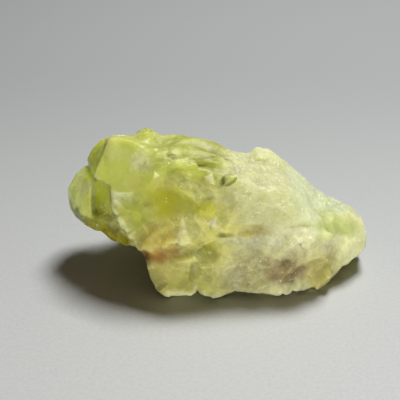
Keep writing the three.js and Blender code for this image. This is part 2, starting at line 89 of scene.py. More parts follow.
PATCHES = {  # in this order, because a later one is painted over the ones before it
    # the glassy half, left to right
    "lobe": Patch((0.06, 0.50, 0.52), (6.0, 9, 6.4), "ACB060", edge=0.25),
    # painted light: the lobe's top made paler, as if the lamps lit it more than its front
    "lit_lobe_top": Patch((0.05, 0.56, 0.66), (3.0, 5, 1.5), "C4CB8D", tilt=-10, edge=0.4),
    # painted light: the lobe's left side made paler, where the lamps hardly reach it
    "lit_lobe_side": Patch((0.012, 0.50, 0.50), (2.0, 6, 4.6), "D4DF80", edge=0.7),
    "lobe_foot": Patch((0.07, 0.42, 0.42), (3.6, 4, 1.6), "6B7618", edge=0.4),
    "shoulder": Patch(
        (0.10, 0.62, 0.82), (2.6, 6, 4.2), "D0DA50", tilt=20, facing=(-0.85, -0.2, 0.48), spread=32,
    ),
    "notch": Patch(
        (0.13, 0.40, 0.60), (2.4, 3, 3.8), "B4BB33", edge=0.25, facing=(-0.6, -0.79, 0.07), spread=16,
    ),
    "notch_spot": Patch((0.12, 0.41, 0.50), (1.6, 2, 1.4), "95943A", edge=0.8, strength=0.7),
    "under_left": Patch((0.17, 0.30, 0.28), (6.5, 6, 3.0), "857F09", tilt=30),
    "smooth_face": Patch(
        (0.20, 0.34, 0.86), (7.5, 6, 5.6), "CBD267", edge=0.25, facing=(-0.43, -0.67, 0.6), spread=13,
    ),
    # painted light: paler, to even out the shade where this face turns from the lamp below the smooth face
    "lit_upper_front": Patch((0.25, 0.20, 0.745), (3.8, 3, 1.9), "C6C96E", tilt=10, edge=0.6),
    "face_top": Patch((0.17, 0.44, 0.95), (2.2, 3, 1.6), "D3D880", edge=0.6),
    "frosted_corner": Patch(
        (0.195, 0.24, 0.70), (1.9, 2.6, 1.7), "E4ECB0", edge=0.5, facing=(-0.42, -0.86, 0.2), spread=16,
    ),
    "frosted_rim": Patch(
        (0.185, 0.19, 0.54), (2.8, 2, 0.6), "E2EC98", tilt=47,
        edge=0.4, facing=(-0.42, -0.87, 0.2), spread=18, strength=0.95,
    ),
    "knob": Patch((0.27, 0.60, 0.975), (2.6, 3, 1.5), "CDD38C"),
    "hollow": Patch((0.34, 0.17, 0.715), (3.5, 3.4, 2.3), "AFAE31", tilt=25, edge=0.75),
    "hollow_right": Patch((0.44, 0.18, 0.69), (3.8, 2.8, 1.5), "C0C050", tilt=32, edge=0.6),
    "bank": Patch((0.42, 0.19, 0.80), (3.2, 3, 1.5), "C8C87A", tilt=34, edge=0.5),
    "lower_face": Patch((0.25, 0.16, 0.58), (3.6, 3, 2.2), "B4B94C", tilt=35, edge=0.5),
    # the platy top
    "plates": Patch((0.42, 0.50, 0.93), (10.5, 9, 3.0), "B0B64F", tilt=8, edge=0.3),
    "plates_right": Patch((0.50, 0.35, 0.88), (4.5, 6, 1.6), "969A3C", tilt=12, edge=0.5),
    "plates_left": Patch((0.32, 0.45, 0.95), (4.6, 8, 2.2), "AFB557", tilt=-16, edge=0.5),
    "plate_pale": Patch((0.455, 0.50, 0.895), (2.2, 2.0, 1.0), "E0E3AC", tilt=20, edge=0.7, strength=0.6),
    "frosted_patch": Patch((0.255, 0.32, 0.912), (1.8, 2.2, 1.3), "E2E2B4", edge=0.7, strength=0.6),
    # the feet
    "tan_face": Patch((0.315, 0.08, 0.50), (3.2, 2.5, 1.8), "C7B559", tilt=-20, edge=0.6, strength=0.7),
    "iron_stain": Patch((0.30, 0.07, 0.335), (3.8, 2.6, 1.6), "8E5C10", tilt=-25, edge=0.9, strength=0.9),
    "left_foot": Patch((0.34, 0.08, 0.18), (4.6, 4, 3.6), "A09C52", edge=0.4),
    "foot_side": Patch(
        (0.31, 0.08, 0.17), (3, 3, 2.8), "B8AE66", facing=(-0.55, -0.82, -0.12), spread=16,
        edge=0.4, strength=0.6,
    ),
    "iron_edge": Patch((0.268, 0.10, 0.31), (0.9, 2.4, 1.2), "5A3A06", edge=0.8, strength=0.9),
    "middle_foot": Patch((0.48, 0.08, 0.18), (3.2, 4, 3.8), "B8B768", edge=0.4),
    # painted light: the feet's bottoms paler, as if lit by light thrown up from the table
    "lit_foot_bottoms": Patch((0.42, 0.04, 0.04), (6.5, 3, 1.1), "D2D09E", edge=0.7, strength=0.9),
    "olive_gap": Patch((0.472, 0.06, 0.41), (1.6, 1.6, 1.5), "ADAA47", edge=0.6),
    # the sugary matrix
    "matrix": Patch((0.70, 0.40, 0.25), (10.5, 14, 8), "CDCB98", edge=0.3),
    "dome": Patch((0.68, 0.45, 0.68), (9.0, 12, 6.4), "C8C995", tilt=20, edge=0.3),
    "slope": Patch((0.84, 0.50, 0.52), (7.0, 10, 4.6), "D2DAAC", tilt=28, edge=0.35),
    "dome_knob": Patch((0.655, 0.70, 0.76), (2.6, 3, 1.6), "D8DDA4", edge=0.6),
    # painted shadow: an olive-brown band under the dome's overhanging edge
    "shadow_under_dome": Patch((0.615, 0.12, 0.525), (3.9, 2.6, 0.9), "A8953C", tilt=2, edge=0.9, strength=0.5),
    "ledge": Patch((0.70, 0.06, 0.45), (7.5, 3, 1.2), "B8B792", tilt=2, edge=0.5),
    "dome_foot": Patch((0.73, 0.12, 0.485), (3.4, 2.8, 1.6), "D9D9AE", tilt=8, edge=0.7),
    "lumps": Patch((0.60, 0.08, 0.20), (3.8, 3, 4.4), "ABA673", edge=0.4),
    "recess": Patch((0.725, 0.10, 0.22), (3.4, 3, 2.9), "8E7E54", edge=0.5),
    "recess_dark": Patch((0.715, 0.09, 0.28), (0.7, 2, 0.6), "5E5428", tilt=-20, edge=0.9, strength=0.6),
    "recess_dark_low": Patch((0.74, 0.13, 0.11), (0.5, 2, 0.8), "605428", tilt=-30, edge=0.9, strength=0.5),
    "bulge": Patch((0.84, 0.14, 0.20), (3.4, 3.4, 4.0), "B0A862", edge=0.4),
    "bulge_top": Patch((0.84, 0.19, 0.35), (2.4, 3, 1.4), "CBC998", edge=0.6),
    "tip": Patch((0.95, 0.40, 0.30), (4.4, 7, 4.6), "DBDCA7", edge=0.35),
    "tip_crust": Patch((0.90, 0.60, 0.46), (4.0, 4, 1.3), "C4CDA2", tilt=20, edge=0.5),
    "tip_band": Patch((0.89, 0.32, 0.405), (5.2, 5, 1.15), "BEC67E", tilt=24, edge=0.3),
    # small crystals that stand out of the rest; some carry a painted glint, and one has a painted shadow
    # under it
    # painted glint: a pale three-cornered facet, as if it caught the lamp
    "glint_facet": Patch(
        (0.475, 0.21, 0.845), (1.2, 1.8, 0.6), "CED09A", tilt=28, edge=0.3, cornered=1, strength=0.9,
    ),
    # painted glint: a small pale three-cornered spot
    "glint_corner": Patch(
        (0.305, 0.23, 0.865), (0.6, 1.6, 0.5), "DDE0A8", edge=0.25, tilt=-20, cornered=1,
    ),
    "lens": Patch((0.537, 0.21, 0.845), (1.6, 1.6, 0.85), "5E6615", tilt=-30, edge=0.2),
    "lens_core": Patch((0.54, 0.21, 0.85), (1.05, 1.6, 0.42), "AEB168", tilt=-30, edge=0.5),
    "cone": Patch((0.39, 0.05, 0.52), (1.5, 1.8, 2.3), "E5E1A4", edge=0.35, cornered=1, strength=0.8),
    # a small pale glassy crystal, with a painted glint on it
    "glinting_grain": Patch(
        (0.485, 0.06, 0.59), (1.1, 1.6, 0.85), "CFCBA8", edge=0.3, tilt=150, cornered=1, strength=0.85,
    ),
    # painted shadow in the narrow gap under the small glassy crystal
    "shadow_gap": Patch((0.52, 0.07, 0.505), (1.3, 1.4, 0.45), "837F2C", tilt=8, edge=0.6),
}

# How the regions are broken, worn and finished.
SUGARY = ("dome", "slope", "ledge", "lumps", "recess", "tip_crust")
CRUMBLY = ("ledge", "recess", "lumps", "tip_crust")  # coarser crumbs as well
WORN = {  # how far the edges are worn round, from 0 to 1
    "dome": 0.9,
    "slope": 0.8,
    "tip": 0.15,
    "lobe": 0.2,
    "left_foot": 0.1,
    "middle_foot": 0.15,
    "under_left": 0.3,
    "bulge": 0.6,
    "recess": 0.6,
}
CALM = (  # smooth, without broken steps
    "lobe", "notch", "left_foot", "middle_foot", "smooth_face", "frosted_corner", "lower_face", "tip_band",
    "hollow", "tip",
)
SHARP = ("knob", "dome_knob", "glint_facet", "lens")  # stand out and stay as they are broken
STRAIGHT = (  # crystal faces and small spots, whose outlines hardly wander
    "notch", "notch_spot", "smooth_face", "frosted_corner", "frosted_rim", "glint_facet", "glint_corner",
    "lens", "frosted_patch", "lens_core", "cone", "lit_lobe_side", "iron_stain", "iron_edge", "glinting_grain",
    "shadow_gap", "tip_band", "recess_dark", "recess_dark_low", "foot_side", "dome_foot", "olive_gap",
    "bulge_top", "plate_pale",
)
MILKY = ("hollow", "smooth_face")  # glassy, but with few planes to be seen inside
EVEN = ("hollow", "smooth_face", "tip_band", "notch")  # their tones differ less
PLATE_RUN = (6, 10)  # tilt and turn of the stacked plates, degrees
RISING_RUN = (-22, 10)  # the same for the plates at the left, which rise to the right

# Where the crystal is crushed into crumbs, bright with painted glints.
SPARKLING = (
    Patch((0.26, 0.32, 0.91), (2.0, 2.4, 1.5)),
    Patch((0.40, 0.19, 0.79), (3.0, 1.8, 0.9), tilt=34),
    Patch((0.38, 0.29, 0.925), (2.6, 1.2, 0.4), tilt=6),
    Patch((0.40, 0.11, 0.61), (2.0, 1.8, 0.9)),
    Patch((0.46, 0.10, 0.60), (2.0, 1.8, 0.8), tilt=14),
    Patch((0.14, 0.38, 0.50), (1.5, 1.8, 1.0)),
    Patch((0.21, 0.17, 0.50), (3.4, 1.8, 0.8), tilt=45),
    Patch((0.31, 0.05, 0.455), (3.2, 1.8, 0.6), tilt=10),
    Patch((0.36, 0.03, 0.29), (1.4, 1.8, 0.7)),
    Patch((0.47, 0.03, 0.26), (2.4, 1.8, 1.6)),
    Patch((0.27, 0.60, 0.975), (2.6, 3.0, 1.5)),
    Patch((0.78, 0.07, 0.43), (1.8, 1.8, 0.8)),
    Patch((0.92, 0.33, 0.30), (1.6, 1.8, 0.9)),
)

# Where the stone stands out a little more than its plain solid: region and height in millimetres.
SWELLS = (
    (Patch((0.42, 0.50, 0.93), (4.0, 6.0, 2.6), edge=0.8), 0.75),
    (Patch((0.16, 0.45, 0.24), (5.0, 6.0, 2.4), tilt=30, edge=0.7), 0.6),
    (Patch((0.70, 0.60, 0.70), (4.0, 6.0, 2.6), tilt=25, edge=0.8), 0.4),
    (Patch((0.97, 0.40, 0.26), (2.8, 6.0, 3.6), edge=0.8), 0.6),
    (Patch((0.09, 0.62, 0.76), (2.2, 5.0, 2.4), edge=0.8), 0.45),
)


def inside(patch, points):
    """How far inside a patch each point lies: 1 in its middle, 0 outside, smooth between."""
    away = points - placed(patch.at)
    c, s = math.cos(math.radians(patch.tilt)), math.sin(math.radians(patch.tilt))
    along, up = away[:, 0] * c - away[:, 2] * s, away[:, 0] * s + away[:, 2] * c
    distance = np.linalg.norm(np.stack([along, away[:, 1], up], axis=1) / np.array(patch.reach), axis=1)
    t = np.clip((1 + patch.edge - distance) / (2 * patch.edge), 0, 1)
    return t * t * (3 - 2 * t)


def inside_any(names, points):
    return np.max([inside(PATCHES[name], points) for name in names], axis=0)


# ---------------------------------------------------------------- the shape

CREASE_DEPTH = 0.03  # a point this far under its neighbours' mean lies in a crease, mm
FILL_RATE = 0.7  # share of a crease that one round fills
LEAST_WEAR = 0.03  # even a sharp edge is worn a little, against the steps of the remesh
UNEVENNESS = 0.15  # height of the soft waves on broken crystal, mm
CUT_DEPTH = 0.35  # how deep a cleaved cell is cut at most, as a share of its spacing
PLATE_CELL = (6.0, 1.0, 0.6)  # proportions of a stacked plate: length, width, thickness
GRAIN_SLOPE = 0.3  # how far the top of a sugar grain leans
CALM_LOSS = 0.7  # share of its grains' height that a calm region loses
LAST_WEAR, PLATE_WEAR = 0.15, 0.35  # how far the new edges are worn at the end, and those of the plates
FAINT_CELLS, FAINT_GRAINS = 0.02, 0.05  # where a mask is weaker than this, nothing is cut or grown


class Skin:
    """The stone's surface as arrays of points, normals and neighbours, in millimetres."""

    def __init__(self, mesh):
        self.mesh = mesh
        self.points = np.zeros(len(mesh.vertices) * 3)
        mesh.vertices.foreach_get("co", self.points)
        self.points = self.points.reshape(-1, 3)
        edges = np.zeros(len(mesh.edges) * 2, int)
        mesh.edges.foreach_get("vertices", edges)
        self.edges = edges.reshape(-1, 2)
        self.degree = np.bincount(self.edges.ravel(), minlength=len(self.points))
        self.refresh()

    def refresh(self):
        """Writes the points back and reads the normals that follow from them."""
        self.mesh.vertices.foreach_set("co", self.points.ravel())
        self.mesh.update()
        normals = np.zeros(len(self.points) * 3, np.float32)
        self.mesh.vertex_normals.foreach_get("vector", normals)
        self.normals = normals.reshape(-1, 3).astype(float)

    def neighbour_mean(self):
        """The mean of each point's neighbours."""
        total = np.zeros_like(self.points)
        count = len(self.points)
        a, b = self.edges[:, 0], self.edges[:, 1]
        for axis in range(3):
            values = self.points[:, axis]
            total[:, axis] = np.bincount(a, values[b], count) + np.bincount(b, values[a], count)
        return total / self.degree[:, None]

    def relax(self, weight, rounds):
        """Evens the surface out: each round moves a point half way to the mean, times its weight."""
        for _ in range(rounds):
            self.points += weight[:, None] * 0.5 * (self.neighbour_mean() - self.points)
        self.refresh()

    def fill_creases(self, rounds):
        """Fills narrow creases and pits, and leaves the outer edges sharp."""
        for _ in range(rounds):
            drift = self.neighbour_mean() - self.points
            hollow = np.sum(drift * self.normals, axis=1)
            self.points += drift * np.clip(hollow / CREASE_DEPTH, 0, 1)[:, None] * FILL_RATE
            self.refresh()

    def push(self, height):
        """Moves each point out along its normal."""
        self.points += self.normals * height[:, None]
        self.refresh()


def bake_modifiers(piece):
    """Gives a piece the mesh that its modifiers make."""
    evaluated = piece.evaluated_get(bpy.context.evaluated_depsgraph_get())
    baked = bpy.data.meshes.new_from_object(evaluated)
    piece.modifiers.clear()
    piece.data = baked


def fine_copy(node):
    """A copy of the stone's solid, remeshed into small even faces, in millimetres."""
    mesh = node.data.copy()
    shape = bmesh.new()
    shape.from_mesh(mesh)
    bmesh.ops.remove_doubles(shape, verts=shape.verts, dist=1e-7)
    bmesh.ops.scale(shape, vec=(1 / MM,) * 3, verts=shape.verts)
    shape.to_mesh(mesh)
    shape.free()
    piece = bpy.data.objects.new("stone", mesh)
    bpy.context.scene.collection.objects.link(piece)
    remesh = piece.modifiers.new("even_faces", "REMESH")
    remesh.mode = "VOXEL"
    remesh.voxel_size = MESH_STEP
    bake_modifiers(piece)
    return piece


def clouds(points, size):
    """Soft three-dimensional noise, about -1 to 1."""
    smoothness, step, octaves = 0.9, 2.1, 3
    return np.array([noise.fractal(Vector(point) / size, smoothness, step, octaves) for point in points])


def random_way(draw):
    return Vector((draw.gauss(0, 1), draw.gauss(0, 1), draw.gauss(0, 1))).normalized()


def pick_cells(draw, where, faintest, spacing):
    """The points where a mask is felt, and the random ones of them that each start a cell."""
    felt = np.flatnonzero(where > faintest)
    count = int(len(felt) * MESH_STEP**2 / spacing**2)
    return felt, draw.sample(list(felt), count)


def search_tree(points):
    tree = kdtree.KDTree(len(points))
    for i, point in enumerate(points):
        tree.insert(point, i)
    tree.balance()
    return tree


def grow_grains(skin, draw, where, spacing, height):
    """Sugary grains: each point belongs to its nearest grain, which is a tilted flat-topped bump."""
    felt, chosen = pick_cells(draw, where, FAINT_GRAINS, spacing)
    tree = search_tree(skin.points[chosen])
    slopes = [random_way(draw) for _ in chosen]
    rises = [draw.uniform(-0.5, 0.5) for _ in chosen]
    lift = np.zeros(len(skin.points))
    for index in felt:
        point = Vector(skin.points[index])
        centre, grain, distance = tree.find(point)
        bump = rises[grain] * height + slopes[grain].dot(point - centre) * GRAIN_SLOPE
        lift[index] = bump - height * (distance / spacing) ** 2
    skin.push(lift * where)


def cleave(skin, draw, where, spacing, lean, stretch=None):
    """Presses the surface flat in cells that each lean their own way. Returns a random tone for each cell.

    Spacing is the square root of a cell's mean area. Stretch is a matrix that takes the stone to a space
    where the cells are round: it makes them long.
    """
    cell_space = skin.points if stretch is None else skin.points @ stretch
    felt, chosen = pick_cells(draw, where, FAINT_CELLS, spacing)
    count = len(chosen)
    tree = search_tree(cell_space[chosen])
    cell = np.array([tree.find(cell_space[index])[1] for index in felt])
    size = np.maximum(np.bincount(cell, minlength=count), 1)[:, None]
    points, normals = skin.points[felt], skin.normals[felt]
    centre = np.stack([np.bincount(cell, points[:, axis], count) for axis in range(3)], axis=1) / size
    facing = np.stack([np.bincount(cell, normals[:, axis], count) for axis in range(3)], axis=1) / size
    facing += np.array([random_way(draw) * lean for _ in range(count)])
    facing /= np.linalg.norm(facing, axis=1)[:, None]
    above = np.sum((points - centre[cell]) * facing[cell], axis=1)
    above = np.clip(above, -spacing * CUT_DEPTH, spacing * CUT_DEPTH) * where[felt]
    skin.points[felt] -= above[:, None] * facing[cell]
    skin.refresh()
    tones = np.zeros(len(skin.points))
    tones[felt] = np.array([draw.uniform(-1, 1) for _ in range(count)])[cell] * where[felt]
    return tones


def plate_space(tilt, turn):
    """The matrix that takes the stone to a space where the stacked plates are as wide as they are long."""
    turned = Euler([0, math.radians(tilt), math.radians(turn)]).to_matrix()
    return np.array(turned) / np.array(PLATE_CELL)


def wear(skin, sharp):
    """Fills the creases, wears the edges round where they are not sharp, and adds the swells."""
    worn = np.max([inside(PATCHES[name], skin.points) * amount for name, amount in WORN.items()], axis=0)
    skin.fill_creases(rounds=20)
    skin.relax(np.maximum(LEAST_WEAR, worn * (1 - sharp)), rounds=14)
    skin.push(sum(height * inside(region, skin.points) for region, height in SWELLS))


def break_faces(skin, draw, sharp, calm):
    """Cleaves the stone from coarse to fine and grows its grains. Returns what is painted on its points."""
    sugary = inside_any(SUGARY, skin.points)
    crumbly = inside_any(CRUMBLY, skin.points)
    plates = inside(PATCHES["plates"], skin.points) * (1 - sharp)
    rising = inside(PATCHES["plates_left"], skin.points) * (1 - sharp)
    platy = np.maximum(plates, rising)
    glassy = (1 - sugary) * (1 - calm) * (1 - platy)
    skin.push(clouds(skin.points, size=5.0) * UNEVENNESS * (1 - calm))
    tone = np.zeros(len(skin.points))
    # each pass: how far its tones count, where it cuts, its spacing in mm, its lean and its stretch
    for share, where, spacing, lean, stretch in (
        (0.8, glassy, 3.2, 0.24, None),
        (0.5, glassy * 0.8, 1.5, 0.2, None),
        (0.6, plates * (1 - rising) * 0.42, 2.0, 0.05, plate_space(*PLATE_RUN)),
        (0.6, rising * 0.5, 1.8, 0.06, plate_space(*RISING_RUN)),
        (0.2, sugary * 0.4, 2.4, 0.2, None),
        (0.5, crumbly * 0.85, 1.2, 0.45, None),
        (0.3, sugary * 0.4, 0.8, 0.35, None),
    ):
        tone += share * cleave(skin, draw, where, spacing, lean, stretch)
    sparkling = np.max([inside(zone, skin.points) for zone in SPARKLING], axis=0)
    tone += 0.5 * cleave(skin, draw, sparkling, spacing=0.75, lean=0.35)
    skin.fill_creases(rounds=3)
    skin.relax(np.maximum(LAST_WEAR, PLATE_WEAR * platy), rounds=2)
    grow_grains(skin, draw, sugary * (1 - CALM_LOSS * calm), spacing=0.5, height=0.03)
    return {"facet_tone": tone, "sugary": sugary, "crumbly": crumbly, "sparkling": sparkling}


def shape_stone(node):
    """The finished mesh of the stone."""
    draw = random.Random(SEED)
    noise.seed_set(SEED)
    piece = fine_copy(node)
    skin = Skin(piece.data)
    sharp = inside_any(SHARP, skin.points)
    calm = np.maximum(inside_any(CALM, skin.points), sharp)
    wear(skin, sharp)
    painted = break_faces(skin, draw, sharp, calm)

    # the stone keeps to its solid's box, so the underside stays flat where it lies on the table
    np.clip(skin.points, low, high, out=skin.points)
    skin.points *= MM
    skin.refresh()
    for name, values in painted.items():
        piece.data.attributes.new(name, "FLOAT", "POINT").data.foreach_set("value", values)
    piece.modifiers.new("flat_faces_merged", "DECIMATE").ratio = KEPT_FACES
    bake_modifiers(piece)
    piece.data.polygons.foreach_set("use_smooth", [True] * len(piece.data.polygons))
    return piece


# ---------------------------------------------------------------- shader nodes

SHADES = {  # sRGB hex: what the stone has besides the colours of its regions, and the table's paper
    "gem_pale": "CCCB82",
    "gem_deep": "BCB867",
    "plane_line": "DDE2A0",
    "cream_sugar": "E9E7BC",
    "green_sugar": "C3CA85",
    # painted glint: pale dots in rare sugar grains
    "glint_dot": "F6F4CC",
    "speck": "84804A",
    # painted glint: pale dots on the crushed crumbs
    "crumb_glint": "F0F0C0",
    "crumb_olive": "8A8A3C",
    # painted highlight and wear on sharp edges
    "worn_and_lit_edge": "E0E4AC",
    # painted shade in creases
    "crease_shade": "77722A",
    "paper": "CFD2D1",
    "paper_fleck": "D8DAD8",
    # painted shade on the paper towards the back
    "paper_far_shade": "A5A9A9",
}
CENTRED = (0.5, 0.5, 0.5)  # taken from a noise or cell colour, this leaves it even about zero


def linear(hex_shade):
    """A colour for a shader socket from an sRGB hex code."""
    values = []
    for i in (0, 2, 4):
        c = int(hex_shade[i:i + 2], 16) / 255
        values.append(c / 12.92 if c <= 0.04045 else ((c + 0.055) / 1.055) ** 2.4)
    return (*values, 1.0)


def add(tree, kind, inputs=None, **settings):
    """Adds a node, changes its settings, and feeds its inputs from values or from other nodes' sockets."""
    made = tree.nodes.new(kind)
    for name, value in settings.items():
        setattr(made, name, value)
    for key, value in (inputs or {}).items():
        if isinstance(value, bpy.types.NodeSocket):
            tree.links.new(value, made.inputs[key])
        else:
            made.inputs[key].default_value = value
    return made


def maths(tree, operation, *values, clamp=False):
    made = add(tree, "ShaderNodeMath", dict(enumerate(values)), operation=operation, use_clamp=clamp)
    return made.outputs[0]


def times(tree, first, second):
    return maths(tree, "MULTIPLY", first, second)


def larger(tree, first, second):
    return maths(tree, "MAXIMUM", first, second)


def vectors(tree, operation, *values, scale=None):
    made = add(tree, "ShaderNodeVectorMath", dict(enumerate(values)), operation=operation)
    if scale is not None:
        made.inputs["Scale"].default_value = scale
    return made.outputs["Value" if operation in ("LENGTH", "DOT_PRODUCT") else "Vector"]


def blend_colours(tree, amount, first, second):
    return add(tree, "ShaderNodeMix", {0: amount, 6: first, 7: second}, data_type="RGBA").outputs[2]


def tint(tree, colour, amount, shade):
    """The colour, turned towards one of the named shades by an amount."""
    return blend_colours(tree, amount, colour, linear(SHADES[shade]))


def ramp(tree, value, start, end, low_value=0.0, high_value=1.0):
    """Maps start..end onto low_value..high_value, smoothly."""
    made = add(
        tree, "ShaderNodeMapRange",
        {0: value, 1: start, 2: end, 3: low_value, 4: high_value},
        interpolation_type="SMOOTHSTEP",
    )
    return made.outputs[0]


def clouded(tree, position, size, detail=3.0, roughness=0.55):
    """The node of a cloudy noise whose lumps are about size millimetres across."""
    settings = {"Vector": position, "Scale": 1 / size, "Detail": detail, "Roughness": roughness}
    return add(tree, "ShaderNodeTexNoise", settings)


def parts_of(tree, vector):
    """The three parts of a vector or a colour."""
    return add(tree, "ShaderNodeSeparateXYZ", {0: vector}).outputs


def new_group(name, inputs, outputs):
    """An empty shader node group with these sockets; each input is (name, kind, value)."""
    tree = bpy.data.node_groups.new(name, "ShaderNodeTree")
    for label, kind, value in inputs:
        socket = tree.interface.new_socket(label, in_out="INPUT", socket_type="NodeSocket" + kind)
        socket.default_value = value
    for label, kind in outputs:
        tree.interface.new_socket(label, in_out="OUTPUT", socket_type="NodeSocket" + kind)
    return tree, tree.nodes.new("NodeGroupInput").outputs, tree.nodes.new("NodeGroupOutput").inputs


def patch_group():
    """Mask of an egg or a three-cornered flake with a soft rim. It may end where the surface turns away."""
    tree, given, result = new_group(
        "region_mask",
        [("Position", "Vector", (0, 0, 0)), ("Centre", "Vector", (0, 0, 0)), ("Turn", "Vector", (0, 0, 0)),
         ("Reach", "Vector", (1, 1, 1)), ("Edge", "Float", 0.35), ("Strength", "Float", 1.0),
         ("Cornered", "Float", 0.0), ("Normal", "Vector", (0, 0, 0)), ("Facing", "Vector", (0, 0, 0)),
         ("Facing From", "Float", -2.0), ("Facing To", "Float", -1.0)],
        [("Mask", "Float")],
    )
    local = add(tree, "ShaderNodeMapping", {
        "Vector": given["Position"], "Location": given["Centre"], "Rotation": given["Turn"],
        "Scale": given["Reach"],
    }, vector_type="TEXTURE").outputs[0]
    outer = maths(tree, "ADD", 1.0, given["Edge"])
    inner = maths(tree, "SUBTRACT", 1.0, given["Edge"])
    along = parts_of(tree, local)
    sides = times(tree, maths(tree, "ABSOLUTE", along[0]), 3 ** 0.5)
    flake = larger(tree, maths(tree, "ADD", along[2], sides), times(tree, along[2], -2.0))
    flake = larger(tree, flake, maths(tree, "ABSOLUTE", along[1]))
    egg = vectors(tree, "LENGTH", local)
    away = add(tree, "ShaderNodeMix", {0: given["Cornered"], 2: egg, 3: flake}).outputs[0]
    mask = ramp(tree, away, outer, inner)
    towards = vectors(tree, "DOT_PRODUCT", given["Normal"], given["Facing"])
    mask = times(tree, mask, ramp(tree, towards, given["Facing From"], given["Facing To"]))
    tree.links.new(times(tree, mask, given["Strength"]), result["Mask"])
    return tree


def grain_group():
    """Small cells: a height of tilted facets, and light and dark dots in rare cells."""
    tree, given, result = new_group(
        "sugar_grains",
        [("Position", "Vector", (0, 0, 0)), ("Fineness", "Float", 2.0), ("Rareness", "Float", 0.95)],
        [("Height", "Float"), ("Light Dot", "Float"), ("Dark Dot", "Float")],
    )
    dot_rim, dot_full = 0.48, 0.2  # from a cell's middle, where its dot starts and where it is full
    crown = -0.3  # how fast a facet falls off from its middle
    settings = {"Vector": given["Position"], "Scale": given["Fineness"]}
    cells = add(tree, "ShaderNodeTexVoronoi", settings, distance="MANHATTAN").outputs
    slope = vectors(tree, "SUBTRACT", cells["Color"], CENTRED)
    offset = vectors(tree, "SUBTRACT", given["Position"], cells["Position"])
    tilt = vectors(tree, "DOT_PRODUCT", offset, slope)
    rise = times(tree, cells["Distance"], crown)
    tree.links.new(maths(tree, "ADD", tilt, rise), result["Height"])
    parts = parts_of(tree, cells["Color"])
    dot = ramp(tree, cells["Distance"], dot_rim, dot_full)
    for channel, name in ((0, "Light Dot"), (1, "Dark Dot")):
        rare = maths(tree, "GREATER_THAN", parts[channel], given["Rareness"])
        tree.links.new(times(tree, dot, rare), result[name])
    return tree


def plane_group():
    """Flat-sided cells inside the crystal: a tone for each, and a thin line where two of them meet."""
    tree, given, result = new_group(
        "inner_planes",
        [("Position", "Vector", (0, 0, 0)), ("Turn", "Vector", (0, 0, 0)), ("Reach", "Vector", (3, 3, 3)),
         ("Line", "Float", 0.04)],
        [("Tone", "Float"), ("Line", "Float")],
    )
    local = add(tree, "ShaderNodeMapping", {
        "Vector": given["Position"], "Rotation": given["Turn"], "Scale": given["Reach"],
    }, vector_type="TEXTURE").outputs[0]
    settings = {"Vector": local, "Scale": 1.0}
    cells = add(tree, "ShaderNodeTexVoronoi", settings)
    tree.links.new(parts_of(tree, cells.outputs["Color"])[0], result["Tone"])
    walls = add(tree, "ShaderNodeTexVoronoi", settings, feature="DISTANCE_TO_EDGE")
    tree.links.new(ramp(tree, walls.outputs["Distance"], given["Line"], 0.0), result["Line"])
    return tree


# ---------------------------------------------------------------- the stone's material

SWAYS = ((4.0, 4.0), (1.2, 1.8), (0.4, 0.7))  # size of the clouds that move a rim, and its play in them, mm
STRAIGHT_SWAY = 0.2  # share of that movement where a region is straight
FACING_RIM = 9.0  # degrees over which a face's tint ends once the surface turns away
MILKINESS = 0.6  # how much of the inner planes is lost in a milky region
EVENNESS = 0.6  # how much of the tones is lost in an even region
FACET_TONE = 0.14  # how much the broken faces differ in tone
TONE_LIMITS = (0.7, 1.15)  # the darkest and the brightest that a tone may turn the colour

# Planes seen inside the crystal: region, how much their tones differ, how bright their lines are,
# their turn in degrees and their half sizes in millimetres. Glassy is all that is neither sugary nor milky.
INNER_PLANES = (
    ("plates", 0.12, 0.35, (0, *PLATE_RUN), (9.0, 1.4, 0.8)),
    ("plates_left", 0.14, 0.4, (0, *RISING_RUN), (9.0, 1.4, 0.7)),
    ("lobe", 0.12, 0.25, (0, 8, 0), (0.9, 1.6, 4.0)),
    ("glassy", 0.14, 0.22, (15, 30, 20), (5.0, 3.0, 2.6)),
    ("glassy", 0.07, 0.08, (-30, 10, 50), (2.6, 1.4, 1.0)),
)
# Mottling: its size in millimetres, its strength in the crystal, and what sugar and crumbs add to that.
MOTTLING = (
    (2.2, 0.45, -0.32, 0.1),
    (0.8, 0.25, -0.14, 0.3),
    (0.28, 0.2, 0.15, 0.4),
)


